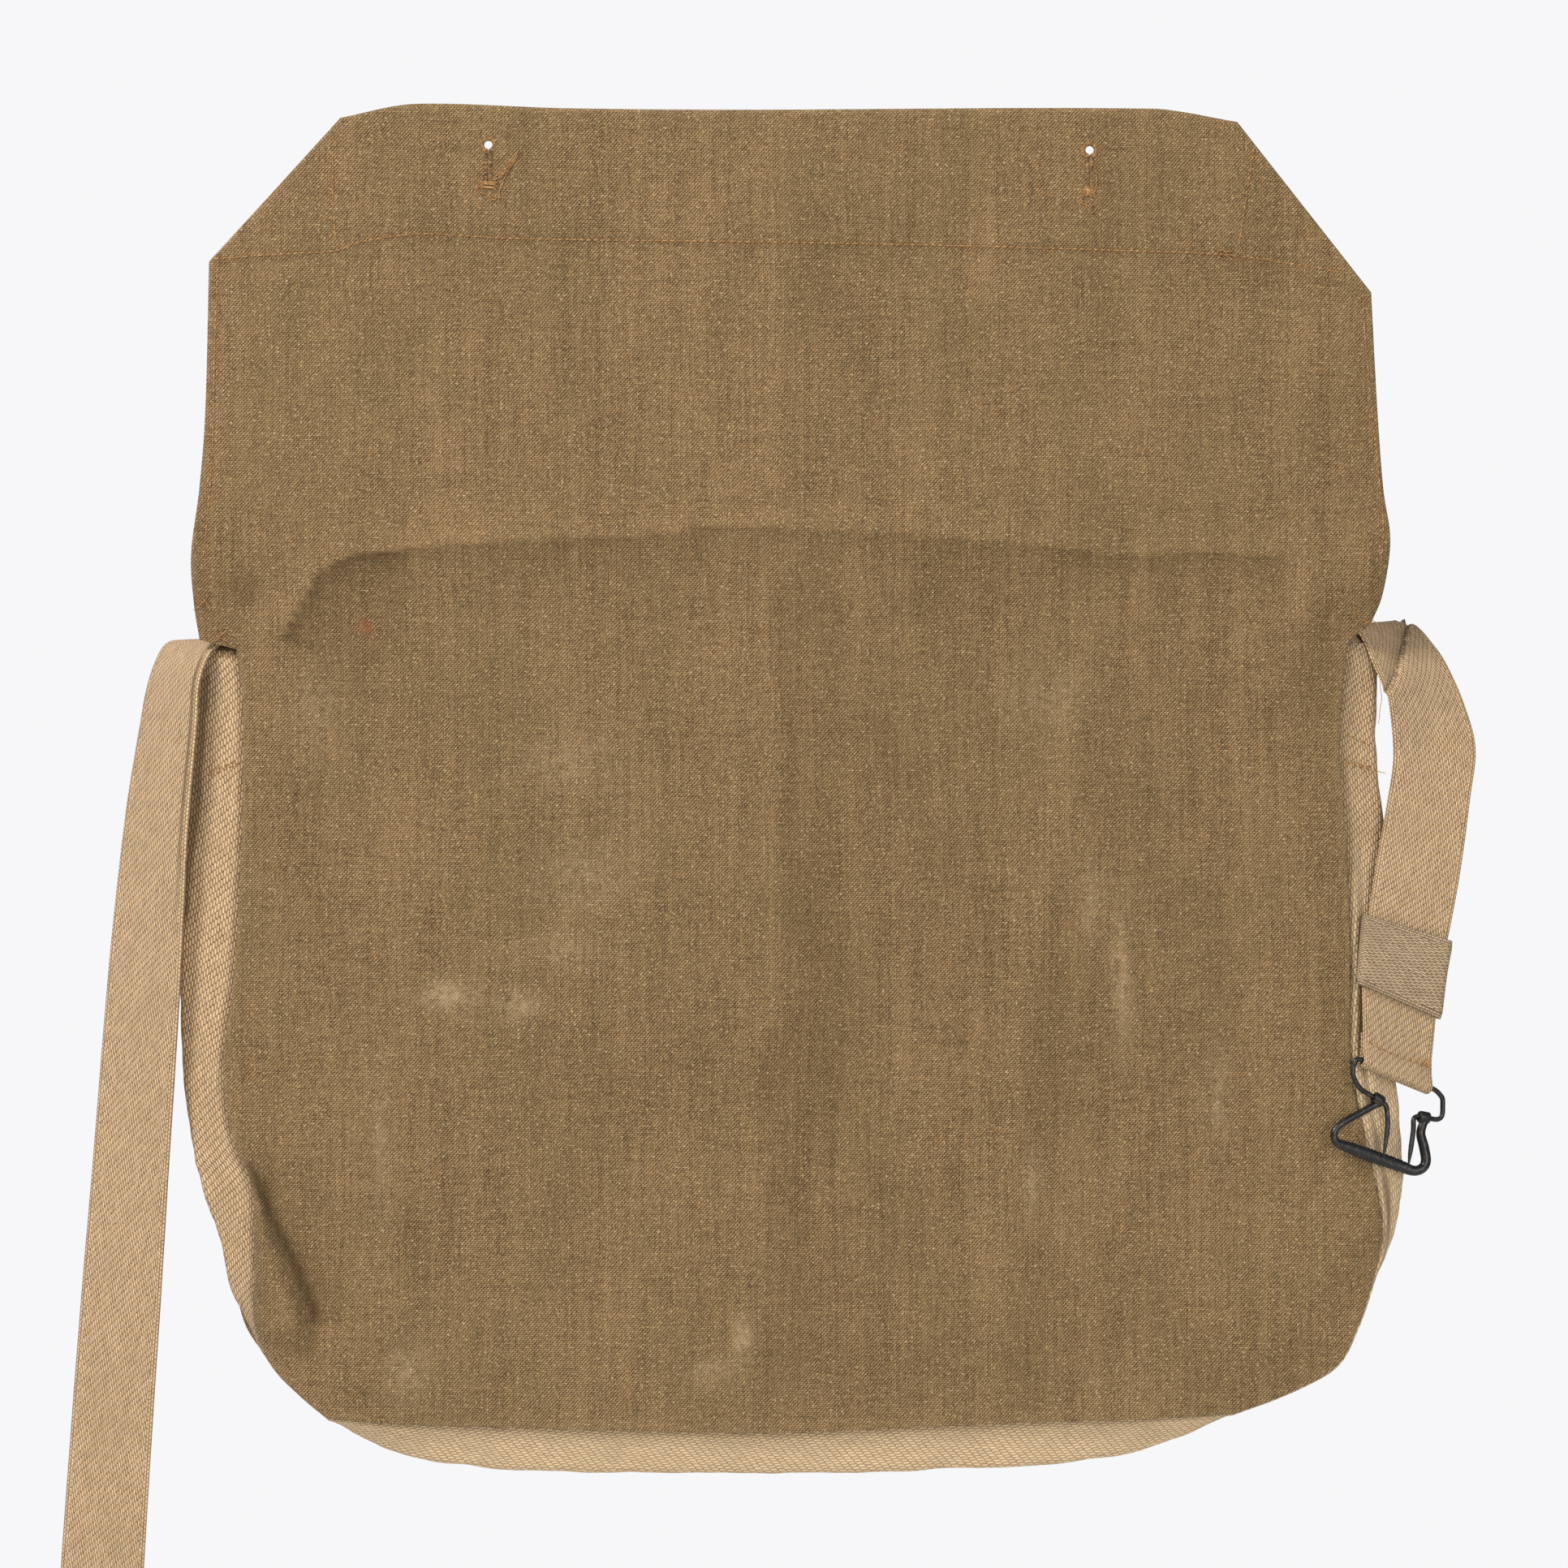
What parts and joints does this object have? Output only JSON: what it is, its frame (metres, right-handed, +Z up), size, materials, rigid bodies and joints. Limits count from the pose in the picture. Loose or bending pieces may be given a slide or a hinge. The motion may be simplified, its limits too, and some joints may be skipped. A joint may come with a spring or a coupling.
{
  "type": "canvas haversack",
  "caption": "Flat canvas haversack with a raised buttonhole flap, webbing gusset, long shoulder strap and a short strap with a double snap hook.",
  "frame": {"origin": "middle of the flap's top edge, on the outer face of the cloth, where the raised flap is held up", "axes": "+X across the bag towards the hook strap, +Y from the back panel towards the front panel, +Z up"},
  "size_m": [0.5015, 0.039, 0.5456],
  "materials": {
    "canvas": "matte",
    "webbing": "matte",
    "keeper_webbing": "matte",
    "black_steel": "satin",
    "button": "satin"
  },
  "bodies": {
    "bag": {"back_panel": "canvas", "front_panel": "canvas", "gusset_band": "webbing", "shoulder_strap": "webbing", "hook_strap": "webbing", "keeper_loop": "keeper_webbing", "button_left": "button", "button_right": "button"},
    "hook": {"hook_body": "black_steel", "hook_wire": "black_steel"}
  },
  "joints": [
    {"name": "hook_swing", "type": "hinge", "parent": "bag", "child": "hook", "pos_m": [0.21304, 0.0009, -0.33955], "axis": [-0.8777, -0.3195, 0.3572], "range_deg": [0, 100]}
  ]
}
